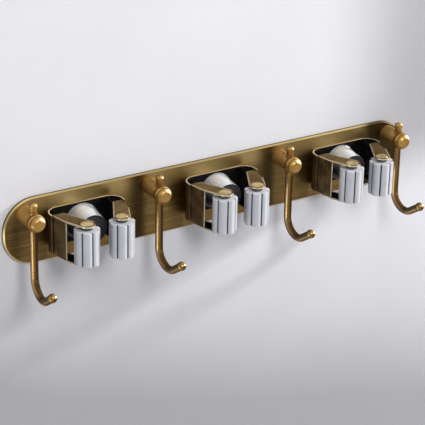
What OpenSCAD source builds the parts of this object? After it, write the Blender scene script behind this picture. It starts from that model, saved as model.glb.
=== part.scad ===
// Wall rack for mops and brooms: three spring grips and four coat hooks on one long plate.
// Millimetres. X runs along the plate, Y points into the wall, Z is up.
// The origin is the middle of the plate's back face, so what stands out from the wall has a negative Y.

/* [Layout] */
// Distance from the middle of one grip to the next
grip_pitch = 130; // [124:1:150]
// Distance from the middle of an outer grip to the outer hook
outer_hook_reach = 51.5; // [50:0.5:70]
// Distance from an outer hook to the end of the plate
plate_end_margin = 18.5; // [18.5:0.5:40]
// Distance from the plate's upper edge down to the middle of the hook posts
hook_edge_distance = 12.1; // [12.1:0.1:20]

/* [Back plate] */
// Height of the plate
plate_height = 59; // [58:0.5:70]
// Thickness of the plate
plate_thickness = 3; // [3:0.1:5]
// Radius of the plate's rounded corners
plate_corner_radius = 28; // [10:0.5:29]
// Width of the bevel round the plate's front edge
plate_bevel = 1.2; // [0.4:0.1:2]

/* [Wall screw holes] */
// Radius of the holes that the wall screws pass through
wall_hole_radius = 2.6; // [2:0.1:3.2]
// Radius of the well in a boss that takes a screw's head
screw_well_radius = 5.2; // [4.5:0.1:6.5]
// Thickness of the boss under a screw's head
screw_well_floor = 4; // [3:0.5:8]

/* [Hook posts] */
// Radius of a post at the plate
post_foot_radius = 7.2; // [6.5:0.1:7.4]
// Radius of a post behind its ball
post_neck_radius = 6.4; // [5:0.1:6.6]
// Distance from the plate to the middle of the ball at the end of a post
ball_reach = 22.5; // [21:0.1:26]
// Radius of that ball
ball_radius = 7.5; // [7:0.1:8]
// Distance from the middle of the ball out to the groove behind its cap
cap_forward = 2.4; // [1:0.1:2.6]
// Width of that groove
cap_groove = 0.8; // [0.4:0.1:1]
// Radius of the flat face on the front of the cap
cap_face_radius = 4.5; // [3.5:0.1:5]
// Thickness of the cap in front of its spigot
cap_front_wall = 1; // [0.8:0.1:1.5]
// Radius of the spigot that carries the cap
cap_spigot_radius = 3; // [2:0.1:3.5]
// Radius of the screws that hold the posts
hook_screw_radius = 2; // [1.5:0.1:2.2]
// How far a hook screw reaches into its post
hook_screw_grip = 8; // [5:0.5:9]

/* [Hook rods] */
// Radius of a hook's rod
rod_radius = 3.3; // [2.8:0.1:3.6]
// Distance from the middle of the ball back to the rod
rod_setback = 5; // [4.8:0.1:5.4]
// Height of the start of the bend below the post's middle
rod_drop = 49.2; // [30:0.1:70]
// Radius of the bend, at the middle of the rod
rod_bend_radius = 15; // [12:0.5:24]
// Angle that the bend turns through
rod_bend_angle = 125; // [110:1:160]
// Length of the straight end past the bend
rod_end_length = 14.5; // [6:0.5:20]
// Radius of the ball on the rod's tip
rod_tip_radius = 3.9; // [3.8:0.1:5]
// Radius of the finial on top of the rod
finial_radius = 3.5; // [3.2:0.1:4.5]
// Radius of the finial's narrow foot
finial_foot_radius = 2.6; // [2:0.1:3]
// Height of the finial
finial_height = 7.6; // [5:0.1:12]

/* [Grip brackets] */
// Thickness of the sheet that brackets and arms are bent from
sheet = 1.2; // [1:0.1:1.4]
// Width of a bracket over its ears
bracket_width = 68; // [66:0.5:76]
// Height of a bracket
bracket_height = 34; // [32:0.5:40]
// How far the ears stand out from the plate
bracket_depth = 14.6; // [13:0.1:17]
// Outer radius of the bends between a bracket's back and its ears
bracket_bend_radius = 11; // [6:0.5:11.5]
// Radius of the shanks of the rivets that hold a bracket
rivet_radius = 2; // [1.5:0.1:2.2]
// Radius of a rivet's head
rivet_head_radius = 3; // [2.8:0.1:3.2]
// Height of a rivet's head
rivet_head_height = 1.4; // [1:0.1:2]
// Distance of a rivet from the middle of its grip
rivet_offset = 19.8; // [19.5:0.1:20]

/* [Stop bosses] */
// Length of a boss, without its pad
boss_length = 21.2; // [15:0.1:24]
// Radius of a boss just in front of its foot
boss_rear_radius = 14.8; // [13.5:0.1:15]
// Radius of the front rim of a boss
boss_front_radius = 13; // [12.6:0.1:14]
// Radius of the foot of a boss
boss_foot_radius = 15.7; // [15.2:0.1:16.2]
// Thickness of that foot
boss_foot_thickness = 1.5; // [1:0.1:3]
// Radius of the rubber pad in the front of a boss
pad_radius = 11.6; // [10:0.1:11.8]
// Thickness of the pad
pad_thickness = 2; // [1.5:0.1:4]
// How far the pad stands out of its seat
pad_proud = 0.8; // [0.3:0.1:1.2]

/* [Swing arms] */
// Distance from the tip of an ear back to the rear edge of its arm
ear_overlap = 1; // [0.6:0.1:1.5]
// Gap between an arm and the ear that stops it
stop_gap = 0.3; // [0.3:0.05:0.5]
// Distance from an arm's outer rear corner in to its hinge pin
hinge_inset = 6.2; // [6:0.1:7]
// Distance from an arm's rear edge out to its hinge pin
hinge_setback = 3.9; // [3.6:0.1:4.5]
// Length of an arm's web
web_length = 16.6; // [14:0.1:20]
// How far the web leans in over its length
web_lean = 3.4; // [2:0.1:5]
// Outer radius of the bends between an arm's web and its flanges
web_bend_radius = 2; // [1.5:0.1:2.4]
// Width of an arm's rear edge
flange_width = 10.7; // [10.5:0.1:13]
// Radius of the arm's inner rear corner
flange_corner_radius = 3; // [1:0.1:3]
// Radius of the tongue round the roller pin
tongue_radius = 7; // [5.5:0.1:8.5]
// How much lower than the bracket the arm's lower edge lies
arm_drop = 2; // [1.2:0.1:3]
// Radius of a hinge pin
hinge_pin_radius = 2; // [1.6:0.1:2.1]
// Radius of the head under a hinge pin
hinge_head_radius = 2.9; // [2.6:0.1:3.2]
// Height of that head
hinge_head_height = 0.8; // [0.5:0.1:1.2]

/* [Rollers] */
// Radius of a roller over its lobes
roller_radius = 10.7; // [9.5:0.1:11]
// Distance from the plate to a roller's axis
roller_reach = 42; // [41:0.5:46]
// Gap between the two rollers of a grip at rest
roller_gap = 10.6; // [8:0.2:14]
// Number of lobes on a roller
roller_lobes = 7; // [6:1:8]
// Radius of a lobe
lobe_radius = 4.9; // [4.8:0.1:6.5]
// Radius of the core that the lobes stand on
roller_core_radius = 7.5; // [7:0.1:8]
// Width of the groove between two lobes
lobe_groove_width = 1.1; // [0.5:0.1:1.4]
// Depth of the groove between two lobes
lobe_groove_depth = 2.4; // [1.5:0.1:3]
// Space between the top of a roller's rubber and its arm
roller_top_gap = 3.5; // [0.8:0.1:4]
// Radius of the collar that keeps that space
roller_collar_radius = 4.6; // [4:0.1:6]
// Radius of a roller pin
roller_pin_radius = 2.5; // [2:0.1:3]
// Radius of the large head of a roller pin
roller_head_radius = 5.6; // [4:0.1:6.5]
// Height of that head
roller_head_height = 1.6; // [1:0.1:2.5]
// Radius of the closed lower end of a roller pin
roller_foot_radius = 4; // [3.5:0.1:5]
// Height of the closed lower end
roller_foot_height = 1; // [0.6:0.1:1.5]

/* [Springs] */
// Diameter of the spring wire
spring_wire = 1; // [0.8:0.1:1.1]
// Rise of the spring wire in one curl
spring_rise = 1.8; // [1.7:0.1:2.4]
// Number of curls
spring_curls = 5; // [3:1:5]
// Distance from the middle of the curls down to the lower lug
spring_height = 7.6; // [7:0.1:12]

/* [Hidden] */
// Smoothness of the round surfaces
$fn = 64;

// Clearances
running_clearance = 0.05;
seat_clearance = 0.03;
end_play = 0.2;
lug_clearance = 0.3;
spring_clearance = 0.4;
pad_clearance = 0.1;
cut = 1;

// Least walls and steps
cap_wall = 0.6;
lug_wall = 1.6;
ear_straight = 1;
corner_limit = 0.5;
finial_lift = 0.4;
finial_flare_share = 0.6;
rod_end_lap = 1;
rod_end_step = 0.06;
pin_sink = 0.1;

// Finishes as the object shows them
plate_brass = [0.46, 0.37, 0.17];
hook_brass = [0.66, 0.46, 0.2];
grip_bronze = [0.36, 0.27, 0.13];
pin_brass = [0.72, 0.6, 0.36];
polished = [0.85, 0.86, 0.88];
grey_rubber = [0.68, 0.69, 0.73];
dark_rubber = [0.13, 0.13, 0.14];
spring_steel = [0.55, 0.56, 0.58];

// Where the grips and hooks stand along the plate
GRIPS = [1, 2, 3];
HOOKS = [1, 2, 3, 4];
SIDES = ["left", "right"];
function grip_x(k) = (k - 2) * grip_pitch;
outer_hook_x = grip_pitch + outer_hook_reach;
hook_places = [-outer_hook_x, -grip_pitch / 2, grip_pitch / 2, outer_hook_x];
function hook_x(k) = hook_places[k - 1];

// Plate
plate_length = 2 * (outer_hook_x + plate_end_margin);
corner = min(plate_corner_radius, plate_height / 2 - corner_limit);

// Hook: distances out from the wall and heights
hook_height = plate_height / 2 - hook_edge_distance;
ball_out = plate_thickness + ball_reach;
rod_out = ball_out - rod_setback;
cap_split = max(ball_out + cap_forward, rod_out + rod_radius + cap_wall);
cap_face_out = ball_out + sqrt(ball_radius * ball_radius - cap_face_radius * cap_face_radius);
spigot_end = cap_face_out - cap_front_wall;
bend_centre_z = hook_height - rod_drop;
finial_seat_z = hook_height + ball_radius + finial_lift;
finial_dome_radius = finial_radius * 1.4;
// How far each hook stands turned about its rod
hook_turns = [-3, 2, 1, 3];

// Bracket and arm: u is the distance from the middle of the grip, out the distance from the wall
back_front = plate_thickness + sheet;
ear_tip_out = plate_thickness + bracket_depth;
ear_inside = bracket_width / 2 - sheet;
bend_radius = min(bracket_bend_radius, bracket_depth - ear_overlap - ear_straight);
web_rear = [ear_inside - stop_gap, ear_tip_out - ear_overlap];
web_front = web_rear + [-web_lean, web_length];
web_direction = (web_front - web_rear) / norm(web_front - web_rear);
web_inward = [-web_direction[1], web_direction[0]];
hinge = web_rear + [-hinge_inset, hinge_setback];
roller_axis = [roller_gap / 2 + roller_radius, plate_thickness + roller_reach];
flange_corner = [web_rear[0] - flange_width + flange_corner_radius, web_rear[1] + flange_corner_radius];
arm_top = bracket_height / 2;
arm_bottom = -bracket_height / 2 - arm_drop;
flange_underside = arm_top - sheet;
flange_floor = arm_bottom + sheet;
lug_radius = hinge_pin_radius + lug_wall;
lug_outer_side = 1.5;
lug_top = flange_underside - lug_clearance;
lug_bottom = flange_floor + lug_clearance;

// Roller
roller_bottom = flange_floor + end_play;
roller_top = flange_underside - roller_top_gap;
roller_bore_radius = roller_pin_radius + running_clearance;
// How far each roller stands turned, left and right on each grip
roller_turns = [[13, 13], [49, 6], [48, 27]];

// Boss
boss_front_out = back_front + boss_length;
pad_seat_depth = pad_thickness - pad_proud;

// Spring round a hinge pin
curl_rings = 8;
wire_sides = 6;
coil_radius = hinge_pin_radius + spring_clearance + spring_wire / 2;
coil_start_angle = 330;
coil_turn = 360 * spring_curls - 60;
coil_rise = spring_rise * coil_turn / 360;
coil_middle_z = lug_bottom + sheet + spring_height;

// Angle of the normal of the line that touches two circles on one side
function touch_angle(a, ra, b, rb, side) =
    atan2(b[1] - a[1], b[0] - a[0]) + side * acos((ra - rb) / norm(b - a));
function on_circle(centre, radius, angle) = centre + radius * [cos(angle), sin(angle)];
// Radius of the sphere whose cap has this rim radius and height
function cap_sphere(rim, height) = (rim * rim + height * height) / (2 * height);

// Stands a turned shape, drawn upwards, out from the wall at one place
module out_from_wall(x, z) {
    translate([x, 0, z]) rotate([90, 0, 0]) children();
}

// Draws in a side view: first axis out from the wall, second axis up
module side_view(x) {
    translate([x, 0, 0]) rotate([90, 0, -90]) children();
}

// Places a right-hand shape at a grip, or its mirror image for the left hand
module at_grip(k, side) {
    translate([grip_x(k), 0, 0]) {
        if (side == "right") children();
        else mirror([1, 0, 0]) children();
    }
}

// Upright cylinder between two heights at a plan point
module post_between(place, radius, low, high) {
    translate([place[0], -place[1], low]) cylinder(r = radius, h = high - low);
}

// Low dome on a flat face, drawn upwards
module dome(rim, height) {
    ball = cap_sphere(rim, height);
    intersection() {
        translate([0, 0, height - ball]) sphere(r = ball);
        cylinder(r = rim, h = height);
    }
}

// Back plate with its bevelled front edge
module back_plate() {
    flat_depth = plate_thickness - plate_bevel;
    straight_x = plate_length / 2 - corner;
    straight_z = plate_height / 2 - corner;
    color(plate_brass) difference() {
        union() {
            out_from_wall(0, 0) {
                linear_extrude(flat_depth) {
                    square([2 * straight_x, plate_height], center = true);
                    square([plate_length, 2 * straight_z], center = true);
                    for (i = [-1, 1], j = [-1, 1]) translate([i * straight_x, j * straight_z]) circle(r = corner);
                }
                for (i = [-1, 1], j = [-1, 1]) translate([i * straight_x, j * straight_z, flat_depth])
                    cylinder(r1 = corner, r2 = corner - plate_bevel, h = plate_bevel);
            }
            bevel_bar(plate_height / 2, 2 * straight_x, flat_depth, 0);
            bevel_bar(plate_length / 2, 2 * straight_z, flat_depth, 90);
        }
        for (k = GRIPS) out_from_wall(grip_x(k), 0) {
            translate([0, 0, -cut]) cylinder(r = wall_hole_radius, h = plate_thickness + 2 * cut);
            for (i = [-1, 1]) translate([i * rivet_offset, 0, 0]) countersunk(rivet_radius, seat_clearance);
        }
        for (k = HOOKS) out_from_wall(hook_x(k), hook_height) countersunk(hook_screw_radius, seat_clearance);
    }
}

// Bar with two sloping long sides: the bevel along two straight edges of the plate
module bevel_bar(half_width, length, start, turn) {
    out_from_wall(0, 0) rotate([0, 0, turn]) rotate([90, 0, 90]) translate([0, 0, -length / 2])
        linear_extrude(length) polygon([
            [-half_width, start], [half_width, start],
            [half_width - plate_bevel, start + plate_bevel], [plate_bevel - half_width, start + plate_bevel]
        ]);
}

// Hole with a countersink at the wall side, as deep as the plate
module countersunk(shank, gap) {
    translate([0, 0, -cut]) cylinder(r = shank + gap, h = plate_thickness + 2 * cut);
    translate([0, 0, -cut]) cylinder(r = 2 * shank + gap, h = cut);
    cylinder(r1 = 2 * shank + gap, r2 = shank + gap, h = shank);
}

// Post: a thick trunk and the rear of the ball, with the rod's hole across it
module hook_post(k) {
    color(hook_brass) difference() {
        out_from_wall(hook_x(k), hook_height) {
            translate([0, 0, plate_thickness])
                cylinder(r1 = post_foot_radius, r2 = post_neck_radius, h = ball_reach);
            intersection() {
                translate([0, 0, ball_out]) sphere(r = ball_radius);
                translate([0, 0, ball_out - ball_radius]) cylinder(r = ball_radius, h = cap_split - ball_out + ball_radius);
            }
            translate([0, 0, rod_out])
                cylinder(r = cap_spigot_radius, h = spigot_end - rod_out);
        }
        post_between([hook_x(k), rod_out], rod_radius + seat_clearance, hook_height - ball_radius - cut,
            hook_height + ball_radius + cut);
        out_from_wall(hook_x(k), hook_height)
            cylinder(r = hook_screw_radius + seat_clearance, h = plate_thickness + hook_screw_grip + seat_clearance);
    }
}

// Cap: the front of the ball with a flat face, pushed on the post's spigot
module hook_cap(k) {
    rear = cap_split + cap_groove;
    color(hook_brass) out_from_wall(hook_x(k), hook_height) difference() {
        intersection() {
            translate([0, 0, ball_out]) sphere(r = ball_radius);
            translate([0, 0, rear]) cylinder(r = ball_radius, h = cap_face_out - rear);
        }
        translate([0, 0, rear - cut])
            cylinder(r = cap_spigot_radius + seat_clearance, h = cut + spigot_end - rear + seat_clearance);
    }
}

// Rod: straight through the post, bent out into a hook with a straight end and a ball on its tip
module hook_rod(k) {
    color(hook_brass) translate([hook_x(k), -rod_out, 0]) rotate([0, 0, hook_turns[k - 1]]) {
        translate([0, 0, bend_centre_z]) cylinder(r = rod_radius, h = finial_seat_z - bend_centre_z);
        side_view(0) translate([rod_bend_radius, bend_centre_z, 0]) {
            rotate([0, 0, 180]) rotate_extrude(angle = rod_bend_angle)
                translate([rod_bend_radius, 0]) circle(r = rod_radius);
            rotate([0, 0, 180 + rod_bend_angle]) translate([rod_bend_radius, 0, 0]) {
                translate([0, -rod_end_lap, 0]) rotate([-90, 0, 0])
                    cylinder(r = rod_radius + rod_end_step, h = rod_end_length + rod_end_lap);
                translate([0, rod_end_length, 0]) sphere(r = rod_tip_radius);
            }
        }
    }
}

// Finial on top of the rod: it widens from a narrow foot to a domed head
module hook_finial(k) {
    body_z = finial_seat_z + finial_height * finial_flare_share;
    body_height = finial_height * (1 - finial_flare_share);
    color(hook_brass) translate([hook_x(k), -rod_out, 0]) {
        translate([0, 0, finial_seat_z])
            cylinder(r1 = finial_foot_radius, r2 = finial_radius, h = finial_height * finial_flare_share);
        intersection() {
            translate([0, 0, body_z]) cylinder(r = finial_radius, h = body_height);
            translate([0, 0, body_z + body_height - finial_dome_radius]) union() {
                sphere(r = finial_dome_radius);
                translate([0, 0, -body_height]) cylinder(r = finial_radius, h = body_height);
            }
        }
    }
}

// Countersunk screws from behind the plate into the posts
module hook_screws() {
    color(spring_steel) for (k = HOOKS) out_from_wall(hook_x(k), hook_height) {
        cylinder(r1 = 2 * hook_screw_radius, r2 = hook_screw_radius, h = hook_screw_radius);
        cylinder(r = hook_screw_radius, h = plate_thickness + hook_screw_grip);
    }
}

// Rivets that hold the brackets, flush behind the plate
module bracket_rivets() {
    color(pin_brass) for (k = GRIPS, i = [-1, 1]) out_from_wall(grip_x(k) + i * rivet_offset, 0) {
        cylinder(r1 = 2 * rivet_radius, r2 = rivet_radius, h = rivet_radius);
        cylinder(r = rivet_radius, h = back_front);
        translate([0, 0, back_front]) dome(rivet_head_radius, rivet_head_height);
    }
}

// Solid block with the plan of a bracket, inset by the thickness of its sheet or not
module bracket_block(inset, height, high_out) {
    half = bracket_width / 2 - inset;
    bend = bend_radius - inset;
    low_out = plate_thickness + inset;
    intersection() {
        union() {
            translate([-half, -high_out, -height / 2]) cube([2 * half, high_out - low_out - bend, height]);
            translate([bend - half, -high_out, -height / 2]) cube([2 * (half - bend), high_out - low_out, height]);
            for (i = [-1, 1]) post_between([i * (half - bend), low_out + bend], bend, -height / 2, height / 2);
        }
        translate([-half, -high_out, -height / 2]) cube([2 * half, high_out - low_out, height]);
    }
}

// Lugs that hold one hinge pin above and below, cut off where the bracket bends round them
module hinge_lugs() {
    for (low = [lug_top - sheet, lug_bottom]) intersection() {
        difference() {
            union() {
                post_between(hinge, lug_radius, low, low + sheet);
                translate([hinge[0] - lug_radius, -hinge[1], low])
                    cube([lug_radius + lug_outer_side, hinge[1] - plate_thickness, sheet]);
            }
            post_between(hinge, hinge_pin_radius + seat_clearance, low - cut, low + sheet + cut);
        }
        bracket_block(sheet / 2, bracket_height + 2 * arm_drop, hinge[1] + lug_radius + cut);
    }
}

// Bracket: a strap bent into a U, with two hinge lugs at each end
module grip_bracket(k) {
    color(grip_bronze) translate([grip_x(k), 0, 0]) difference() {
        union() {
            difference() {
                bracket_block(0, bracket_height, ear_tip_out);
                bracket_block(sheet, bracket_height + 2 * cut, ear_tip_out + cut);
            }
            hinge_lugs();
            mirror([1, 0, 0]) hinge_lugs();
        }
        out_from_wall(0, 0) {
            cylinder(r = wall_hole_radius, h = back_front + cut);
            for (i = [-1, 1]) translate([i * rivet_offset, 0, 0])
                cylinder(r = rivet_radius + seat_clearance, h = back_front + cut);
        }
    }
}

// Boss that a handle is pressed against, with a well for the wall screw
module stop_boss(k) {
    color(polished) out_from_wall(grip_x(k), 0) translate([0, 0, back_front]) difference() {
        union() {
            cylinder(r = boss_foot_radius, h = boss_foot_thickness);
            translate([0, 0, boss_foot_thickness])
                cylinder(r1 = boss_rear_radius, r2 = boss_front_radius, h = boss_length - boss_foot_thickness);
        }
        translate([0, 0, -cut]) cylinder(r = wall_hole_radius, h = boss_length + 2 * cut);
        translate([0, 0, screw_well_floor]) cylinder(r = screw_well_radius, h = boss_length);
        translate([0, 0, boss_length - pad_seat_depth]) cylinder(r = pad_radius + pad_clearance, h = boss_length);
    }
}

// Rubber pad in the front of a boss, open over the screw
module stop_pad(k) {
    color(dark_rubber) out_from_wall(grip_x(k), 0) translate([0, 0, boss_front_out - pad_seat_depth]) difference() {
        cylinder(r = pad_radius, h = pad_thickness);
        translate([0, 0, -cut]) cylinder(r = screw_well_radius, h = pad_thickness + 2 * cut);
    }
}

// Outline of an arm's flange in plan, drawn with the second axis out from the wall
module flange_plan() {
    outer = touch_angle(web_front, 0, roller_axis, tongue_radius, -1);
    inner = touch_angle(flange_corner, flange_corner_radius, roller_axis, tongue_radius, 1);
    polygon([
        web_rear, web_front,
        on_circle(roller_axis, tongue_radius, outer), roller_axis, on_circle(roller_axis, tongue_radius, inner),
        on_circle(flange_corner, flange_corner_radius, inner), flange_corner,
        [flange_corner[0], web_rear[1]]
    ]);
    translate(roller_axis) circle(r = tongue_radius);
    translate(flange_corner) circle(r = flange_corner_radius);
}

// What the bends take off the outer edges of an arm's web, drawn in plan from the web's rear corner
module web_edges() {
    length = norm(web_front - web_rear);
    translate([web_rear[0], web_rear[1], (arm_top + arm_bottom) / 2])
        rotate([0, 0, atan2(web_direction[1], web_direction[0])]) for (i = [0, 1]) mirror([0, 0, i])
            translate([-cut, 0, (arm_top - arm_bottom) / 2]) rotate([90, 0, 90]) linear_extrude(length + cut) difference() {
                translate([-cut, -web_bend_radius]) square([web_bend_radius + cut, web_bend_radius + cut]);
                translate([web_bend_radius, -web_bend_radius]) circle(r = web_bend_radius);
            }
}

// Arm: a channel with two flanges that run on as tongues over and under the roller
module swing_arm(k, side) {
    color(grip_bronze) at_grip(k, side) difference() {
        mirror([0, 1, 0]) difference() {
            union() {
                for (low = [arm_bottom, flange_underside]) translate([0, 0, low]) linear_extrude(sheet) flange_plan();
                translate([0, 0, arm_bottom]) linear_extrude(arm_top - arm_bottom) polygon([
                    web_rear, web_front, web_front + sheet * web_inward, web_rear + sheet * web_inward
                ]);
            }
            web_edges();
        }
        post_between(hinge, hinge_pin_radius + running_clearance, arm_bottom - cut, arm_top + cut);
        post_between(roller_axis, roller_pin_radius + seat_clearance, arm_bottom - cut, arm_top + cut);
    }
}

// Hinge pin, flush with the arm above and closed with a low head below
module hinge_pin(k, side) {
    color(grip_bronze) at_grip(k, side) {
        post_between(hinge, hinge_pin_radius, arm_bottom - end_play, arm_top - pin_sink);
        translate([hinge[0], -hinge[1], arm_bottom - end_play]) mirror([0, 0, 1])
            dome(hinge_head_radius, hinge_head_height);
    }
}

// Roller pin with a broad head above and a small closed end below
module roller_pin(k, side) {
    color(pin_brass) at_grip(k, side) {
        post_between(roller_axis, roller_pin_radius, arm_bottom, arm_top);
        translate([roller_axis[0], -roller_axis[1], arm_top]) dome(roller_head_radius, roller_head_height);
        translate([roller_axis[0], -roller_axis[1], arm_bottom]) mirror([0, 0, 1])
            dome(roller_foot_radius, roller_foot_height);
    }
}

// Outline of a roller: rounded lobes with a narrow groove between each two
module roller_plan() {
    step = 360 / roller_lobes;
    difference() {
        union() {
            circle(r = roller_core_radius);
            for (i = [0 : roller_lobes - 1]) rotate((i + 0.5) * step)
                translate([roller_radius - lobe_radius, 0]) circle(r = lobe_radius);
        }
        for (i = [0 : roller_lobes - 1]) rotate(i * step)
            translate([roller_radius - lobe_groove_depth, -lobe_groove_width / 2])
                square([lobe_groove_depth + cut, lobe_groove_width]);
    }
}

// Rubber roller with a collar under the arm
module roller(k, side) {
    hand = side == "left" ? -1 : 1;
    turn = roller_turns[k - 1][side == "left" ? 0 : 1];
    length = roller_top - roller_bottom;
    whole_length = length + roller_top_gap - end_play;
    color(grey_rubber) translate([grip_x(k) + hand * roller_axis[0], -roller_axis[1], roller_bottom])
        rotate([0, 0, turn]) difference() {
            union() {
                linear_extrude(length) roller_plan();
                cylinder(r = roller_collar_radius, h = whole_length);
            }
            translate([0, 0, -cut]) cylinder(r = roller_bore_radius, h = whole_length + 2 * cut);
        }
}

// Route of a spring's wire: a leg from the bracket's back, the curls, a leg to the arm's web
function curl_point(t) = [
    hinge[0] + coil_radius * cos(coil_start_angle + t * coil_turn),
    hinge[1] + coil_radius * sin(coil_start_angle + t * coil_turn),
    coil_middle_z + coil_rise * (0.5 - t)
];
coil_steps = round(curl_rings * coil_turn / 360);
curl_points = [for (i = [0 : coil_steps]) curl_point(i / coil_steps)];
leg_direction = [-sin(coil_start_angle), cos(coil_start_angle), 0];
leg_run = (curl_points[0][1] - back_front - spring_wire) / leg_direction[1];
web_inside_u = web_rear[0] + sheet * web_inward[0]
    - (hinge[1] - coil_radius - web_rear[1]) * web_lean / web_length;
arm_leg_end = [web_inside_u - lug_clearance, curl_points[coil_steps][1], curl_points[coil_steps][2]];
spring_route = concat(
    [curl_points[0] - leg_run * leg_direction, curl_points[0] - leg_run / 2 * leg_direction],
    curl_points,
    [(curl_points[coil_steps] + arm_leg_end) / 2, arm_leg_end]
);
route_end = len(spring_route) - 1;
least_gap = min([
    for (i = [0 : route_end], j = [0 : route_end]) if (j - i > curl_rings / 2)
        norm(spring_route[j] - spring_route[i]) - spring_wire
]);
echo(str("least gap of a spring's wire to itself: ", least_gap, " mm"));

// Tube swept along a route, with its rings kept upright
module swept_wire(route, radius) {
    last = len(route) - 1;
    function along(i) = route[min(i + 1, last)] - route[max(i - 1, 0)];
    function across(i) = cross(along(i), [0, 0, 1]) / norm(cross(along(i), [0, 0, 1]));
    function upward(i) = cross(across(i), along(i)) / norm(along(i));
    function ring(i) = [for (a = [0 : wire_sides - 1])
        route[i] + radius * (cos(a * 360 / wire_sides) * across(i) + sin(a * 360 / wire_sides) * upward(i))];
    points = [for (i = [0 : last]) each ring(i)];
    skin = [for (i = [0 : last - 1], a = [0 : wire_sides - 1])
        let (b = (a + 1) % wire_sides, p = i * wire_sides, q = p + wire_sides)
        each [[p + a, q + a, q + b], [p + a, q + b, p + b]]];
    start_cap = [for (a = [1 : wire_sides - 2]) [0, a, a + 1]];
    end_cap = [for (a = [1 : wire_sides - 2]) [last * wire_sides, last * wire_sides + a + 1, last * wire_sides + a]];
    polyhedron(points, concat(skin, start_cap, end_cap));
}

// Spring round a hinge pin, between its lugs
module spring(k, side) {
    color(spring_steel) at_grip(k, side) mirror([0, 1, 0]) swept_wire(spring_route, spring_wire / 2);
}

back_plate();
hook_screws();
bracket_rivets();
for (k = HOOKS) {
    hook_post(k);
    hook_cap(k);
    hook_rod(k);
    hook_finial(k);
}
for (k = GRIPS) {
    grip_bracket(k);
    stop_boss(k);
    stop_pad(k);
}
for (k = GRIPS, s = SIDES) {
    swing_arm(k, s);
    hinge_pin(k, s);
    spring(k, s);
    roller(k, s);
    roller_pin(k, s);
}
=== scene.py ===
# %% [markdown]
# A wall rack for mops and brooms has a long brass plate, three sprung grips and four bent hooks.
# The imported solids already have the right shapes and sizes, so this lesson leaves them where they are.
# It gives them finishes, soft edges and light, and winds proper springs in place of the plain ones.

# %% Load the solids
import math

import bpy
import bmesh
from mathutils import Matrix, Vector


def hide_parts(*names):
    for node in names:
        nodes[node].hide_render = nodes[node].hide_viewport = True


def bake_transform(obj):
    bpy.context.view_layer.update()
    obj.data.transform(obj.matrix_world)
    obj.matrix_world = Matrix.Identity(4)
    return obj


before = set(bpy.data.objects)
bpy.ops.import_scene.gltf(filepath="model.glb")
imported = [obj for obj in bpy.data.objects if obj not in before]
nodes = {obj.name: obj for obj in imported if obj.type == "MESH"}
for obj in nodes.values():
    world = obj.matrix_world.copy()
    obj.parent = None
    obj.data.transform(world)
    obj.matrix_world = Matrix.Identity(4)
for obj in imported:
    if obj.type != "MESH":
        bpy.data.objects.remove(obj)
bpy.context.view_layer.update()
MM = 0.001

# %% [markdown]
# The camera comes first, because every later choice is judged through it.
# Its place was worked out from points that can be found both on the rack and in the photograph:
# it stands to the left of the rack, above it, and looks through a long lens, so the plate hardly tapers.

# %% Stand the camera where the photographer stood
PHOTO_SIZE = 425
FOCAL_PIXELS = 1826.4
AIM = Vector((0.21, 0.0, -23.26)) * MM
DISTANCE = 1582.8 * MM
azimuth, elevation, roll = (math.radians(angle) for angle in (-31.99, 24.48, 1.25))

back = Vector((
    math.sin(azimuth) * math.cos(elevation),
    -math.cos(azimuth) * math.cos(elevation),
    math.sin(elevation),
))
level_right = (-back).cross(Vector((0, 0, 1))).normalized()
level_up = level_right.cross(-back)
right = level_right * math.cos(roll) + level_up * math.sin(roll)
up = level_up * math.cos(roll) - level_right * math.sin(roll)

camera_data = bpy.data.cameras.new("photo_camera")
camera_data.sensor_width = 36
camera_data.sensor_fit = "HORIZONTAL"
camera_data.lens = FOCAL_PIXELS / PHOTO_SIZE * camera_data.sensor_width
camera_data.clip_start = 0.05
camera_data.clip_end = 30
camera = bpy.data.objects.new("photo_camera", camera_data)
turned = Matrix((right, up, back)).transposed().to_4x4()
camera.matrix_world = Matrix.Translation(AIM + back * DISTANCE) @ turned
bpy.context.scene.collection.objects.link(camera)
bpy.context.scene.camera = camera
print("lens:", round(camera_data.lens, 1), "mm at", round(DISTANCE, 3), "m")

# %% [markdown]
# A finish is a sum of simple things: streaks, stains, bright edges.
# Wiring each sum by hand hides what it says, so one small class stands for a wire between nodes.
# Adding or multiplying two wires adds the node that does it, and its method `node` makes any other kind.

# %% A wire that can be used in sums
def plug(socket, value):
    """Links a wire to a socket, or sets the socket to a plain value."""
    if isinstance(value, Wire):
        value.tree.links.new(value.socket, socket)
    elif isinstance(value, (tuple, list)) and len(value) == 3 and socket.type == "RGBA":
        socket.default_value = (*value, 1)
    else:
        socket.default_value = value


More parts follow.
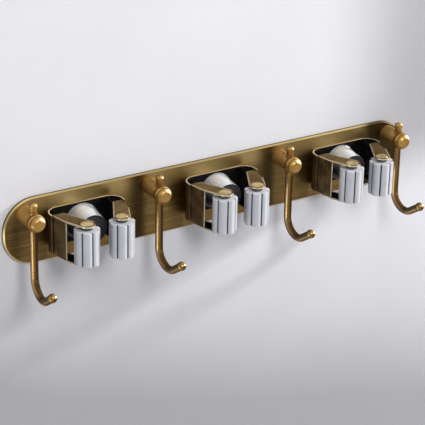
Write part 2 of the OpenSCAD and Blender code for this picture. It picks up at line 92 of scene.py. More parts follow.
class Wire:
    """One output of a finish's nodes."""

    def __init__(self, tree, socket):
        self.tree = tree
        self.socket = socket

    def node(self, kind, settings=None, sockets=None, out=0):
        """Makes a node, with its settings first and then its sockets, and returns one of its outputs."""
        made = self.tree.nodes.new("ShaderNode" + kind)
        for name, value in (settings or {}).items():
            setattr(made, name, value)
        for key, value in (sockets or {}).items():
            plug(made.inputs[key], value)
        return Wire(self.tree, made.outputs[out])

    def sum(self, operation, first, second):
        return self.node("Math", {"operation": operation}, {0: first, 1: second})

    def __add__(self, other):
        return self.sum("ADD", self, other)

    def __radd__(self, other):
        return self.sum("ADD", other, self)

    def __sub__(self, other):
        return self.sum("SUBTRACT", self, other)

    def __rsub__(self, other):
        return self.sum("SUBTRACT", other, self)

    def __mul__(self, other):
        return self.sum("MULTIPLY", self, other)

    def __rmul__(self, other):
        return self.sum("MULTIPLY", other, self)

    def __truediv__(self, other):
        return self.sum("DIVIDE", self, other)

    def __rtruediv__(self, other):
        return self.sum("DIVIDE", other, self)

    def __pow__(self, other):
        return self.sum("POWER", self, other)

    def __rpow__(self, other):
        return self.sum("POWER", other, self)

    def __gt__(self, other):
        return self.sum("GREATER_THAN", self, other)

    def __lt__(self, other):
        return self.sum("LESS_THAN", self, other)

    def size(self):
        return self.sum("ABSOLUTE", self, 0)

    def rise(self, low, high):
        """0 below low, 1 above high, and a smooth rise between them."""
        return self.node("MapRange", {"interpolation_type": "SMOOTHSTEP"}, {0: self, 1: low, 2: high})

    def colours(self, low, high):
        """From one colour at 0 to another at 1."""
        return self.node("Mix", {"data_type": "RGBA"}, {0: self, 6: low, 7: high}, out=2)

    def part(self, axis):
        return self.node("SeparateXYZ", None, {0: self}, out="XYZ".index(axis))

    def stretched(self, x, y, z):
        return self.node("VectorMath", {"operation": "MULTIPLY"}, {0: self, 1: (x, y, z)})

    def noise(self, scale, detail, rough):
        sockets = {"Vector": self, "Scale": scale, "Detail": detail, "Roughness": rough}
        return self.node("TexNoise", None, sockets)


print("the wire class is ready")

# %% [markdown]
# Every finish starts in the same way: a material, its shader, and two wires that tell each point apart.
# One wire is the point's place in metres, the other is the way that its surface faces.
# A fine relief, too small to model, goes to the shader as a bump.

# %% Start a finish
def new_finish(name):
    """A material, its shader, the place of each point in metres and the way that its surface faces."""
    material = bpy.data.materials.new(name)
    material.use_nodes = True
    tree = material.node_tree
    shader = tree.nodes["Principled BSDF"]
    place = Wire(tree, tree.nodes.new("ShaderNodeTexCoord").outputs["Object"])
    facing = Wire(tree, tree.nodes.new("ShaderNodeTexCoord").outputs["Normal"])
    return material, shader, place, facing


def bumped(shader, height, depth):
    """Feeds a height, in units of depth metres, to the shader as a bump."""
    bump = height.node("Bump", None, {"Strength": 1, "Distance": depth, "Height": height})
    plug(shader.inputs["Normal"], bump)


def either(first, second):
    """The larger of two masks."""
    return first.sum("MAXIMUM", first, second)


def within(value, start, full, fade, gone):
    """1 between full and fade, with smooth slopes down to 0 at start and at gone, in millimetres."""
    return value.rise(start * MM, full * MM) * (1 - value.rise(fade * MM, gone * MM))


print("finishes can be started")

# %% [markdown]
# The same grip stands three times along the plate. Finishes that follow the grips need to know how far
# a point lies from the middle of the nearest one, so that distance gets a small function of its own.

# %% Find the middle of the nearest grip
GRIP_PITCH = 130 * MM


def from_grip(place):
    """Signed distance along the plate from the middle of the nearest grip."""
    pitches = place.part("X") / GRIP_PITCH
    return place.part("X") - pitches.node("Math", {"operation": "ROUND"}, {0: pitches}) * GRIP_PITCH


print("grips stand every", GRIP_PITCH, "m")

# %% [markdown]
# Parts of the plate are much darker in the photograph than the lamps alone make them: strips on the left
# of the brackets, level with them, strips on the left of the hooks, a faint one behind the first hook,
# and the right end. Moving the lamps could darken them, but it would change everything else as well.
# So a mask marks these places, and the plate's finish is painted dark there as shade.

# %% Mark the plate's painted shade
def painted_plate_shade(place):
    """A mask of the plate's painted shade, and of its right end alone."""
    along = place.part("X")
    height = place.part("Z")
    right_of_grip = from_grip(place)
    left_of_grip = right_of_grip * -1
    broad_strip = within(left_of_grip, 30, 33, 37, 51) * (0.45 + height.rise(-22 * MM, 4 * MM) * 0.5)
    close_strip = within(left_of_grip, 30, 33, 35, 43) * height.rise(-22 * MM, -6 * MM) * 0.9
    by_bracket = either(broad_strip, close_strip) * (1 - height.rise(10 * MM, 21 * MM))
    by_hook = within(right_of_grip, 38, 54, 56, 65)
    by_first_hook = within(along, -197, -188, -182, -176) * within(height, -28, -6, 6, 16) * 0.28
    right_end = along.rise(146 * MM, 164 * MM)
    by_hooks = either(by_hook, by_first_hook)
    return either(either(by_bracket, by_hooks), right_end * 1.15), right_end


print("the plate's dark places can be marked")

# %% [markdown]
# The plate is brass with a dark patina, brushed along its length.
# Brushing leaves very long, very fine streaks, so the noise is squeezed hard across the plate and hardly
# along it. The patina stays in broad clouds. The brass is painted paler towards the upper edge as light, so
# the lower half stays darker as painted shade. The bevel round the front gets a painted highlight, apart from
# the right end, and the rim behind it is painted dark as shade. The painted shade belongs to the front alone,
# so the back stays plain.

# %% Brushed antique brass for the plate
def brushed_brass():
    material, shader, place, facing = new_finish("brushed_antique_brass")
    fine = place.stretched(14, 14, 1100).noise(1, 4, 0.65)
    broad = place.stretched(5, 5, 230).noise(1, 3, 0.6)
    streaks = fine * 0.6 + broad * 0.4
    clouds = place.noise(16, 4, 0.6).rise(0.35, 0.7)
    slant = 1 - facing.part("Y").size()
    rim = slant.rise(0.55, 0.85)
    # Painted light: the brass is paler towards the upper edge, so the lower half stays darker as shade.
    upper = place.part("Z").rise(4 * MM, 27 * MM)
    front = facing.part("Y") < 0.1
    shaded, right_end = painted_plate_shade(place)
    patina = streaks.rise(0.3, 0.72).colours((0.155, 0.093, 0.027), (0.45, 0.288, 0.104))
    stained = (clouds * 0.45).colours(patina, (0.23, 0.148, 0.053))
    brushed = (upper * (0.4 + streaks * 0.55)).colours(stained, (0.75, 0.54, 0.225))
    # Painted shade where the mask marks the plate's dark places.
    darkened = (shaded * front * (1 - streaks * 0.3)).colours(brushed, (0.075, 0.05, 0.016))
    # A painted highlight on the bevel, and painted shade on the side rim behind it.
    bevelled = (slant.rise(0.12, 0.25) * (1 - right_end)).colours(darkened, (0.7, 0.54, 0.24))
    dull = either(rim * 0.8, slant.rise(0.05, 0.15) * right_end * 0.9)
    plug(shader.inputs["Base Color"], rim.colours(bevelled, (0.07, 0.05, 0.022)))
    plug(shader.inputs["Roughness"], 0.44 - streaks * 0.16 + clouds * 0.08)
    plug(shader.inputs["Metallic"], 1 - dull)
    shader.inputs["Specular IOR Level"].default_value = 0.15
    bumped(shader, streaks, 0.03 * MM)
    return material


plate_finish = brushed_brass()
print("made", plate_finish.name)

# %% [markdown]
# The hooks are warmer than the plate. In the photograph their right side, their underside,
# the side by the wall and the throat of the bend are dark, and the lamps alone didn't give that.
# So masks made from the way a point faces mark these sides, which get painted shade, and two more mark
# painted highlights: the upper front of the ball and of the tip, and the left side of the rod.

# %% Mark a hook's painted shade and painted highlights
def hook_sides(place, facing):
    """Masks of a hook's rod, of its painted shade, of its painted highlight on the upper front, and of all
    its painted highlights.
    """
    to_right = facing.part("X")
    to_wall = facing.part("Y")
    to_top = facing.part("Z")
    on_rod = 1 - place.part("Z").rise(6 * MM, 11 * MM)
    on_tip = (place.part("Y") * -1).rise(50 * MM, 52 * MM)
    on_shaft = on_rod * (1 - on_tip)
    # Painted shade on the throat, the underside, the right side and the side by the wall.
    throat = to_top.rise(0.1, 0.45) * to_right.rise(-0.85, -0.4) * on_shaft
    underside = (to_top * -1).rise(0.1, 0.8) * 0.6
    right_side = to_right.rise(-0.5, 0.05) * (1 - to_top.rise(0.1, 0.5)) * (0.3 + on_rod * 0.7)
    wall_side = to_wall.rise(-0.3 - on_rod * 0.2, 0.3 - on_rod * 0.2)
    dark = either(either(underside, right_side), either(wall_side, throat * 0.9))
    # Painted highlights on the upper front, and on the left side of the rod.
    painted_highlight = (to_right * 0.5 - to_wall * 0.5 + to_top * 0.7).rise(0.72, 0.98)
    left_side = (to_right * -1).rise(0.68, 0.9) * on_rod
    paler_mask = either(painted_highlight * (1 - on_shaft), left_side * 0.6)
    return on_rod, dark, painted_highlight, paler_mask


print("a hook's sides can be marked")

# %% [markdown]
# A polished surface still has soft ripples, so the hooks' colour wanders slowly and the roughness with it.
# The rod is smoother and browner than the ball. Where the painted shade makes the finish dark it is also
# dull, and less metal, because a dark metal still mirrors the pale room along its edges. The painted
# highlights are pale brass.

# %% Polished antique brass for the hooks
def polished_brass():
    material, shader, place, facing = new_finish("polished_antique_brass")
    on_rod, dark, painted_highlight, paler_mask = hook_sides(place, facing)
    tarnish = place.noise(70, 5, 0.62).rise(0.3, 0.72)
    specks = place.noise(900, 2, 0.5).rise(0.6, 0.78)
    tarnished = tarnish.colours((0.74, 0.43, 0.132), (0.46, 0.256, 0.074))
    drawn = (on_rod * 0.62).colours(tarnished, (0.33, 0.176, 0.045))
    # Pale brass where the painted highlights fall.
    warm = paler_mask.colours(drawn, (0.95, 0.73, 0.4))
    highlight_off_rod = painted_highlight * (1 - on_rod)
    rough = 0.38 - on_rod * 0.12 + tarnish * 0.08 + dark * 0.25 + highlight_off_rod * 0.12
    # Near black where the painted shade falls, with real dark specks.
    plug(shader.inputs["Base Color"], (specks * 0.1 + dark * 0.9).colours(warm, (0.022, 0.012, 0.005)))
    plug(shader.inputs["Roughness"], rough)
    plug(shader.inputs["Metallic"], 1 - dark * 0.95)
    shader.inputs["Specular IOR Level"].default_value = 0.15
    plug(shader.inputs["Specular Tint"], (0.3, 0.2, 0.1))
    bumped(shader, place.noise(120, 2, 0.4), 0.05 * MM)
    return material


hook_finish = polished_brass()
print("made", hook_finish.name)

# %% [markdown]
# Brackets and arms are bent from strap, bronze outside. Their inside is painted almost black as shade, and
# their cut edges get a painted highlight.
# A point knows its own place and the way it faces, which is enough to tell the three apart.
# For the bracket, a rounded box in plan says how deep a point lies in the sheet.

# %% Tell the inside of a bracket from its outside and its edges
PLATE = 3 * MM
SHEET = 1.2 * MM
BRACKET_SIDE = 34 * MM
BRACKET_BEND = 11 * MM


def bracket_sides(place, facing):
    """Masks of a bracket's inside, painted dark as shade, of its cut edges, with a painted highlight, and of
    how much paler it grows away from the wall.
    """
    out = place.part("Y") * -1
    beyond_side = either(from_grip(place).size() - (BRACKET_SIDE - BRACKET_BEND), 0)
    beyond_back = either((PLATE + BRACKET_BEND) - out, 0)
    depth = (beyond_side * beyond_side + beyond_back * beyond_back) ** 0.5 - BRACKET_BEND
    inside = depth < 0.1 * MM - SHEET
    edge = (facing.part("Z").size() > 0.7) * (depth > -0.05 * MM - SHEET)
    return inside, edge, out.rise(4 * MM, 20 * MM) * 0.3


print("sheet of", SHEET, "m")

# %% [markdown]
# For the arm, what lies between the flanges and doesn't face outward is inside, painted dark as shade.
# The flat of each flange gets a painted highlight, a bright rim along its two long edges. They could be found
# from the mesh, but two straight lines in plan are enough, so the rim is the strip that lies close to either
# line.

# %% Tell the inside of an arm from its outside and its edges
FLANGE_UNDERSIDE = 15.8 * MM
FLANGE_FLOOR = -17.8 * MM
INNER_CORNER = (24.8 * MM, 19.6 * MM)
INNER_CORNER_RADIUS = 3 * MM
INNER_WAY = (0.886, 0.464)
OUTER_POINT = (29.1 * MM, 33.2 * MM)
OUTER_WAY = (0.909, 0.416)


def arm_sides(place, facing):
    """Masks of an arm's inside, painted dark as shade, of its edges and rims, with a painted highlight, and
    of its wear.
    """
    along = from_grip(place)
    hand = along.node("Math", {"operation": "SIGN"}, {0: along})
    across = along.size()
    out = place.part("Y") * -1
    height = place.part("Z")
    to_top = facing.part("Z").size()
    between = (height < FLANGE_UNDERSIDE + 0.1 * MM) * (height > FLANGE_FLOOR - 0.1 * MM)
    front = facing.part("Y") < -0.8
    cut = (1 - between) * (to_top < 0.75) * (0.55 - facing.part("Y") * 0.45)
    top = to_top > 0.7
    past_corner = (INNER_CORNER[0] - across) * INNER_WAY[0] + (INNER_CORNER[1] - out) * INNER_WAY[1]
    past_web = (across - OUTER_POINT[0]) * OUTER_WAY[0] + (out - OUTER_POINT[1]) * OUTER_WAY[1]
    rim = top * either(past_corner - INNER_CORNER_RADIUS, past_web).rise(-1.4 * MM, -0.5 * MM)
    wear = top * place.stretched(800, 90, 90).noise(1, 3, 0.6).rise(0.3, 0.7) * 0.35
    inside = between * (facing.part("X") * hand < 0.3)
    return inside, either(either(front, cut), rim * 0.55), wear


print("flanges end at", FLANGE_UNDERSIDE, "and", FLANGE_FLOOR, "m")

# %% [markdown]
# One function makes the bronze for both, because only the masks differ.
# Fine upright streaks and slow clouds keep it from looking painted. The inside is painted near black as
# shade, and the edges pale cream as a painted highlight. A metal seen almost edge on mirrors
# everything, which turned the painted dark inside pale, so the shader's tint for that is set low.

# %% Dark bronze for the bent sheet
def sheet_bronze(name, sides):
    material, shader, place, facing = new_finish(name)
    inside, edge, wear = sides(place, facing)
    fine = place.stretched(700, 700, 26).noise(1, 4, 0.6)
    clouds = place.noise(60, 4, 0.6).rise(0.3, 0.7)
    paler_mask = (fine * 0.7 + clouds * 0.5).rise(0.35, 0.85)
    bronze = paler_mask.colours((0.13, 0.092, 0.05), (0.27, 0.195, 0.105))
    outer = wear.colours(bronze, (0.4, 0.29, 0.14))
    # Painted shade for the inside, and a painted highlight for the edges.
    black = clouds.colours((0.012, 0.011, 0.011), (0.03, 0.028, 0.027))
    bright = clouds.colours((0.93, 0.83, 0.58), (0.8, 0.67, 0.42))
    plug(shader.inputs["Base Color"], edge.colours(inside.colours(outer, black), bright))
    plug(shader.inputs["Roughness"], 0.5 + inside * 0.1 - edge * 0.2 - fine * 0.1)
    plug(shader.inputs["Metallic"], 1 - edge * 0.6)
    plug(shader.inputs["Specular Tint"], (0.3, 0.25, 0.2))
    bumped(shader, fine, 0.03 * MM)
    return material


bracket_finish = sheet_bronze("bracket_bronze", bracket_sides)
arm_finish = sheet_bronze("arm_bronze", arm_sides)
print("made", bracket_finish.name, arm_finish.name)

# %% [markdown]
# The roller pins are plain brass with a broad head. Turning leaves rings, but these heads are only 11 mm
# wide and show small, so a light speckle and a slow change of colour say enough.

# %% Bright brass for the roller pins
def pin_brass():
    material, shader, place = new_finish("pin_brass")[:3]
    wear = place.noise(180, 4, 0.6).rise(0.3, 0.7)
    plug(shader.inputs["Base Color"], wear.colours((0.72, 0.57, 0.29), (0.51, 0.38, 0.16)))
    plug(shader.inputs["Roughness"], 0.24 + wear * 0.14)
    shader.inputs["Metallic"].default_value = 1
    bumped(shader, place.noise(500, 2, 0.5), 0.04 * MM)
    return material


pin_finish = pin_brass()
print("made", pin_finish.name)

# %% [markdown]
# The boss behind each handle is plated and left satin, so it is a pale grey that shows the room only softly.
# Faint turning rings round the axis keep it from looking like a mirror. In the photograph its underside and
# foot are dark and its left side is half shaded, so painted shade darkens the finish there.
# Its front rim is as dark as the pad that it holds. The springs and screws are blackened wire and steel.

# %% Plating for the bosses and black for the springs
def plated(name, tone, rough, metal):
    material, shader, place, facing = new_finish(name)
    rings = place.stretched(1, 900, 1).noise(1, 3, 0.5)
    haze = place.noise(120, 3, 0.6).rise(0.35, 0.7)
    ring_tone = tuple(0.72 * part for part in tone)
    shaded_tone = tuple(0.09 * part for part in tone)
    silver = (haze * 0.3 + rings.rise(0.42, 0.6) * 0.55).colours(tone, ring_tone)
    # Painted shade: darker below, on the left and on the foot.
    lit = facing.part("Z").rise(-0.2, 0.55)
    from_right = facing.part("X").rise(-0.85, 0.1)
    foot = (place.part("Y") * -1) < 5.9 * MM
    shown = (lit * (0.5 + from_right * 0.5) * (1 - foot * 0.4)).colours(shaded_tone, silver)
    front = (facing.part("Y") < -0.6) * (place.part("Y") < -22 * MM)
    plug(shader.inputs["Base Color"], front.colours(shown, (0.05, 0.05, 0.055)))
    plug(shader.inputs["Roughness"], rough + rings * 0.08 + haze * 0.05)
    shader.inputs["Metallic"].default_value = metal
    bumped(shader, rings, 0.02 * MM)
    return material


boss_finish = plated("satin_plating", (0.96, 0.98, 1.0), 0.28, 0.25)
wire_finish = plated("spring_wire", (0.07, 0.07, 0.075), 0.36, 1)
print("made", boss_finish.name, wire_finish.name)

# %% [markdown]
# The rollers are pale grey rubber, satin rather than shiny. Rubber scatters light evenly,
# so a soft dust and a fine moulded grain are what make it read as rubber and not as plastic.
# The grooves between the lobes are painted dark as shade. They are found by their distance from the roller's
# axis, on the faces that don't look up or down. The flanks are painted greyer as shade, as in the photograph,
# and the right one is duller too, because it faces the strongest lamp.

# %% Rubber for the rollers and the pads
ROLLER_SIDE = 16 * MM
ROLLER_OUT = 45 * MM


def painted_groove_shade(place, facing):
    """A mask of the grooves between a roller's lobes, for painted shade."""
    across = from_grip(place).size() - ROLLER_SIDE
    out = place.part("Y") * -1 - ROLLER_OUT
    radius = (across * across + out * out) ** 0.5
    return (1 - radius.rise(8.9 * MM, 10.1 * MM)) * (facing.part("Z").size() < 0.5)


def rubber(name, clean, dusty, rough, groove_shade_of=None):
    material, shader, place, facing = new_finish(name)
    dust = place.noise(90, 4, 0.6).rise(0.35, 0.75)
    tone = (dust * 0.7).colours(clean, dusty)
    dull = rough + dust * 0.1
    if groove_shade_of:
        # Painted shade on both flanks and in the grooves.
        left_flank = 1 - facing.part("X").rise(-0.95, 0.2)
        right_flank = facing.part("X").rise(0.15, 0.65)
        tone = either(left_flank * 0.55, right_flank).colours(tone, tone.stretched(0.63, 0.64, 0.67))
        tone = groove_shade_of(place, facing).colours(tone, (0.09, 0.09, 0.1))
        dull = dull + right_flank * 0.3
    plug(shader.inputs["Base Color"], tone)
    plug(shader.inputs["Roughness"], dull)
    shader.inputs["Specular IOR Level"].default_value = 0.4
    bumped(shader, place.noise(2600, 2, 0.5), 0.04 * MM)
    return material


roller_finish = rubber("grey_rubber", (0.73, 0.74, 0.775), (0.63, 0.64, 0.68), 0.34, painted_groove_shade)
pad_finish = rubber("dark_rubber", (0.035, 0.034, 0.038), (0.06, 0.058, 0.064), 0.5)
print("made", roller_finish.name, pad_finish.name)

# %% [markdown]
# The solids themselves may not be changed, but modifiers may stand on them.
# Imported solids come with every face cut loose, so a small node group first joins the faces and marks
# the sharp edges. A bevel then rounds those edges as a deburring tool would, and they catch the light.

# %% Join the faces and mark the sharp edges
SHARP_ANGLE = math.radians(32)
JOIN_DISTANCE = 0.002 * MM


def joining_group():
    group = bpy.data.node_groups.new("join_faces", "GeometryNodeTree")
    group.interface.new_socket("Geometry", in_out="INPUT", socket_type="NodeSocketGeometry")
    group.interface.new_socket("Geometry", in_out="OUTPUT", socket_type="NodeSocketGeometry")
    start = group.nodes.new("NodeGroupInput")
    join = group.nodes.new("GeometryNodeMergeByDistance")
    join.inputs["Distance"].default_value = JOIN_DISTANCE
    forget = group.nodes.new("GeometryNodeRemoveAttribute")
    forget.inputs["Name"].default_value = "custom_normal"
    smooth = group.nodes.new("GeometryNodeSetShadeSmooth")
    edges = group.nodes.new("GeometryNodeSetShadeSmooth")
    edges.domain = "EDGE"
    bend = group.nodes.new("GeometryNodeInputMeshEdgeAngle")
    shallow = group.nodes.new("FunctionNodeCompare")
    shallow.operation = "LESS_THAN"
    shallow.inputs[1].default_value = SHARP_ANGLE
    end = group.nodes.new("NodeGroupOutput")
    link = group.links.new
    link(start.outputs[0], join.inputs["Geometry"])
    link(join.outputs[0], forget.inputs["Geometry"])
    link(forget.outputs[0], smooth.inputs["Geometry"])
    link(smooth.outputs[0], edges.inputs["Geometry"])
    link(bend.outputs["Unsigned Angle"], shallow.inputs[0])
    link(shallow.outputs[0], edges.inputs["Shade Smooth"])
    link(edges.outputs[0], end.inputs[0])
    return group


join_faces = joining_group()


def soften(solid, width):
    """Rounds a solid's sharp edges by a width in millimetres."""
    joined = solid.modifiers.new("join_faces", "NODES")
    joined.node_group = join_faces
    flat_faces = solid.modifiers.new("flat_faces", "DECIMATE")
    flat_faces.decimate_type = "DISSOLVE"
    flat_faces.angle_limit = math.radians(0.5)
    bevel = solid.modifiers.new("soft_edges", "BEVEL")
    bevel.width = width * MM
    bevel.segments = 2
    bevel.limit_method = "ANGLE"
    bevel.angle_limit = SHARP_ANGLE
    bevel.use_clamp_overlap = True
    bevel.harden_normals = True
    weigh = solid.modifiers.new("flat_shading", "WEIGHTED_NORMAL")
    weigh.keep_sharp = True


print("the joining group has", len(join_faces.nodes), "nodes")

# %% [markdown]
# Each solid gets its finish and the width of its soft edges by name. A table says which kind gets what,
# so all six arms or all four hook rods need one line. The rivets are as dark as the bracket round them.

# %% Dress every solid
DRESS = {
    "back_plate": (plate_finish, 0.25),
    "hook_post": (hook_finish, 0.25),
    "hook_cap": (hook_finish, 0.25),
    "hook_rod": (hook_finish, 0.2),
    "hook_finial": (hook_finish, 0.25),
    "hook_screws": (wire_finish, 0.1),
    "bracket_rivets": (bracket_finish, 0.15),
    "grip_bracket": (bracket_finish, 0.2),
    "stop_boss": (boss_finish, 0.35),
    "stop_pad": (pad_finish, 0.3),
    "arm": (arm_finish, 0.2),
    "hinge_pin": (arm_finish, 0.1),
    "roller_pin": (pin_finish, 0.2),
    "roller": (roller_finish, 0.3),
    "spring": (wire_finish, 0),
}


def kind_of(name):
    """A solid's name without its side and number."""
    words = [word for word in name.split("_") if word not in ("left", "right") and not word.isdigit()]
    return "_".join(words)


for name, solid in nodes.items():
    finish, width = DRESS[kind_of(name)]
    solid.material_slots[0].material = finish
    if width:
        soften(solid, width)
print("dressed", len(nodes), "solids in", len(bpy.data.materials), "finishes")

# %% [markdown]
# A torsion spring sits round each hinge pin. One leg leans on the bracket's back, the other on the arm's web.
# The solid spring is coarse, so a smooth one is wound here along the same route.
# The route is worked out in millimetres: a straight leg, the curls of a helix, and a second leg.

# %% Lay out the route of a spring
HINGE = Vector((26.3, 20.5))
WIRE = 1.0
COIL_RADIUS = 2.9
CURL_RISE = 1.8
CURLS = 5
START_ANGLE = 330
TURN = 360 * CURLS - 60
MIDDLE_Z = -8.7
LEG_OUT = 5.2
WEB_LEG = 30.5
RINGS_A_CURL = 24
FIRST_LEG_RINGS = 8
LAST_LEG_RINGS = 5


def spring_route():
    """Points of a right-hand spring: distance from the grip's middle, distance from the wall, height."""
    rise = CURL_RISE * TURN / 360
    steps = RINGS_A_CURL * TURN // 360
    curls = []
    for step in range(steps + 1):
        share = step / steps
        angle = math.radians(START_ANGLE + share * TURN)
        curls.append(Vector((
            HINGE.x + COIL_RADIUS * math.cos(angle),
            HINGE.y + COIL_RADIUS * math.sin(angle),
            MIDDLE_Z + rise * (0.5 - share),
        )))
    start = math.radians(START_ANGLE)
    leg = Vector((-math.sin(start), math.cos(start), 0))
    run = (curls[0].y - LEG_OUT) / leg.y
    first = [curls[0] - leg * run * (1 - step / FIRST_LEG_RINGS) for step in range(FIRST_LEG_RINGS)]
    last_point = Vector((WEB_LEG, curls[-1].y, curls[-1].z))
    last = [curls[-1].lerp(last_point, step / LAST_LEG_RINGS) for step in range(1, LAST_LEG_RINGS + 1)]
    return first + curls + last


route = spring_route()
print("a spring's route has", len(route), "points")

# %% [markdown]
# The wire is a tube of rings, one at each point, closed at both ends by a blunt tip.
# A curve with a round bevel would do as well, but here the mesh can be made closed in one go.

# %% Make a wire along a route
def wound_wire(name, points, radius, sides=10):
    """A round wire with blunt rounded ends along points in metres."""
    made = bmesh.new()
    rings = []
    count = len(points)
    for index, point in enumerate(points):
        ahead = points[min(index + 1, count - 1)] - points[max(index - 1, 0)]
        across = ahead.cross(Vector((0, 0, 1))).normalized()
        upward = across.cross(ahead).normalized()
        rings.append([
            made.verts.new(point + (across * math.cos(turn) + upward * math.sin(turn)) * radius)
            for turn in (2 * math.pi * side / sides for side in range(sides))
        ])
    for near, far in zip(rings, rings[1:]):
        for side in range(sides):
            other = (side + 1) % sides
            made.faces.new((near[side], near[other], far[other], far[side]))
    for ring, outward in ((rings[0], points[0] - points[1]), (rings[-1], points[-1] - points[-2])):
        middle = sum((vert.co for vert in ring), Vector()) / sides
        tip = made.verts.new(middle + outward.normalized() * radius * 0.5)
        for side in range(sides):
            made.faces.new((ring[side], ring[(side + 1) % sides], tip))
    bmesh.ops.recalc_face_normals(made, faces=made.faces)
    for face in made.faces:
        face.smooth = True
    mesh = bpy.data.meshes.new(name)
    made.to_mesh(mesh)
    made.free()
    wire = bpy.data.objects.new(name, mesh)
    bpy.context.scene.collection.objects.link(wire)
    return wire


print("wire of", WIRE, "mm can be wound")

# %% [markdown]
# Six springs are wound, the left ones as mirror images of the right ones.

# %% Wind the springs
for grip in (1, 2, 3):
    for side, hand in (("left", -1), ("right", 1)):
        middle_x = (grip - 2) * GRIP_PITCH
        points = [Vector((middle_x + hand * point.x * MM, -point.y * MM, point.z * MM)) for point in route]
        spring = wound_wire(f"{side}_spring_wire_{grip}", points, WIRE / 2 * MM)
        spring.data.materials.append(wire_finish)
        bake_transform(spring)
        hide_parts(f"{side}_spring_{grip}")
print("wound springs with", len(route), "rings each")

# %% [markdown]
# The rack hangs on a pale wall, and a pale floor well below gives the light that any room sends back up.
# Seen from behind, both let the eye through. Behind the plate the wall is left open,
# so that light reaches the plate's back and it can be looked at.

# %% Build the wall and the floor
def flat(name, corners):
    """One flat face, for the stage alone."""
    mesh = bpy.data.meshes.new(name)
    mesh.from_pydata(corners, [], [tuple(range(len(corners)))])
    sheet = bpy.data.objects.new(name, mesh)
    bpy.context.scene.collection.objects.link(sheet)
    return sheet


WALL_Y = 0.0004
SIDE = 3
FRONT = -4
FLOOR_Z = -1
TOP_Z = 2.5
wall = flat("wall", [
    (-SIDE, WALL_Y, FLOOR_Z), (SIDE, WALL_Y, FLOOR_Z), (SIDE, WALL_Y, TOP_Z), (-SIDE, WALL_Y, TOP_Z),
])
floor = flat("floor", [
    (-SIDE, FRONT, FLOOR_Z), (SIDE, FRONT, FLOOR_Z), (SIDE, WALL_Y, FLOOR_Z), (-SIDE, WALL_Y, FLOOR_Z),
])


def clear_from_behind(material, shader, hole):
    """Lets light through from behind, and from both sides where the hole is 1."""
    tree = material.node_tree
    behind = Wire(tree, tree.nodes.new("ShaderNodeNewGeometry").outputs["Backfacing"])
    clear = behind.node("BsdfTransparent")
    solid_side = Wire(tree, shader.outputs["BSDF"])
    shown = behind.node("MixShader", None, {0: either(behind, hole), 1: solid_side, 2: clear})
    plug(tree.nodes["Material Output"].inputs["Surface"], shown)


print("stage:", wall.name, floor.name)

# %% [markdown]
# The wall in the photograph is bright at the top left and falls off down the picture.
# Soft steps of painted shade down the wall, a painted shadow on the upper right and one on the lower left
# give that.
# Lamps could do it too, but they would change the metal as well, so the shade is painted into the plaster
# itself.

# %% Plaster for the wall and paint for the floor
COVER_STRAIGHT_X = 172 * MM
COVER_STRAIGHT_Z = 1.5 * MM
COVER_RADIUS = 26 * MM


def behind_plate(place):
    """A mask of the wall that the plate covers, as a box with round ends."""
    beside = either(place.part("X").size() - COVER_STRAIGHT_X, 0)
    over = either(place.part("Z").size() - COVER_STRAIGHT_Z, 0)
    return (beside * beside + over * over) ** 0.5 < COVER_RADIUS


def plaster():
    material, shader, place = new_finish("pale_plaster")[:3]
    along = place.part("X")
    height = place.part("Z")
    drop = height * -1 - along * 0.24
    lower = drop.rise(-0.05, 0.26)
    deep = drop.rise(0.1, 0.27)
    low_left = (along * -1).rise(0.02, 0.25) * (height * -1).rise(0.03, 0.12)
    upper_right = along.rise(0.1, 0.22) * height.rise(-0.06, 0.02)
    grain = place.noise(9, 4, 0.55).rise(0.3, 0.7)
    # Painted shade: soft steps down the wall, and shadows on the upper right and the lower left.
    shade = lower * 0.68 + deep * 0.45 + low_left * 0.1 + upper_right * 0.85 + grain * 0.06
    plug(shader.inputs["Base Color"], shade.colours((0.88, 0.875, 0.91), (0.45, 0.445, 0.47)))
    shader.inputs["Roughness"].default_value = 0.9
    shader.inputs["Specular IOR Level"].default_value = 0.1
    clear_from_behind(material, shader, behind_plate(place))
    return material


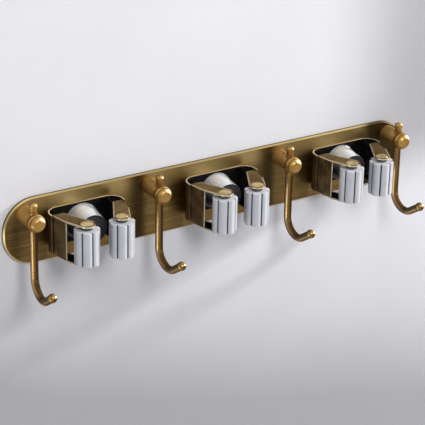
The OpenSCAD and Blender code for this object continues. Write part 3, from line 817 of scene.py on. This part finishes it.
def pale_floor():
    material, shader, place = new_finish("pale_floor")[:3]
    cloud = place.noise(3, 3, 0.5)
    plug(shader.inputs["Base Color"], cloud.colours((0.62, 0.615, 0.62), (0.56, 0.555, 0.56)))
    shader.inputs["Roughness"].default_value = 0.7
    clear_from_behind(material, shader, 0)
    return material


wall.data.materials.append(plaster())
floor.data.materials.append(pale_floor())
print("finished", wall.name, floor.name)

# %% [markdown]
# In the photograph the light comes from the upper right and skims along the wall, so shadows run to the
# lower left. One lamp far to the right gives that. A wide soft one in front fills the dark sides, and a weak
# card low on the left draws the long bright line that runs down each rod.

# %% Light the rack
def lamp(name, place, width, height, power, colour=(1, 1, 1)):
    """A flat lamp, sizes in metres and power in watts, aimed at the middle of the plate."""
    data = bpy.data.lights.new(name, "AREA")
    data.shape = "RECTANGLE"
    data.size = width
    data.size_y = height
    data.energy = power
    data.color = colour
    made = bpy.data.objects.new(name, data)
    made.location = place
    made.rotation_euler = (-Vector(place)).to_track_quat("-Z", "Y").to_euler()
    bpy.context.scene.collection.objects.link(made)


lamp("window", (2.2, -0.5, 0.66), 0.2, 0.2, 62, (1.0, 0.99, 0.97))
lamp("left_card", (-1.64, -0.53, -0.79), 0.4, 0.8, 4.5)
lamp("soft_front", (-0.1, -1.6, 1.1), 0.7, 0.7, 15, (0.98, 0.99, 1.0))
print("lamps:", len(bpy.data.lights))

# %% [markdown]
# The world stands for the rest of the room: a quiet grey, brighter above than below,
# and darker on the right, so that the metal mirrors less of it on that side.

# %% Add the room
world = bpy.data.worlds.new("quiet_room")
bpy.context.scene.world = world
world.use_nodes = True
background = world.node_tree.nodes["Background"]
sky = Wire(world.node_tree, world.node_tree.nodes.new("ShaderNodeTexCoord").outputs["Generated"])
height = sky.part("Z").rise(-0.6, 0.8)
from_left = 1 - sky.part("X").rise(-0.3, 0.8) * 0.85
plug(background.inputs["Color"], (height * from_left).colours((0.14, 0.14, 0.15), (0.95, 0.95, 0.97)))
background.inputs["Strength"].default_value = 0.55
print("world:", world.name)

# %% [markdown]
# Colours should come out as they were written, so the view transform is the plain one.

# %% Use the plain view transform
bpy.context.scene.view_settings.view_transform = "Standard"
bpy.context.view_layer.update()
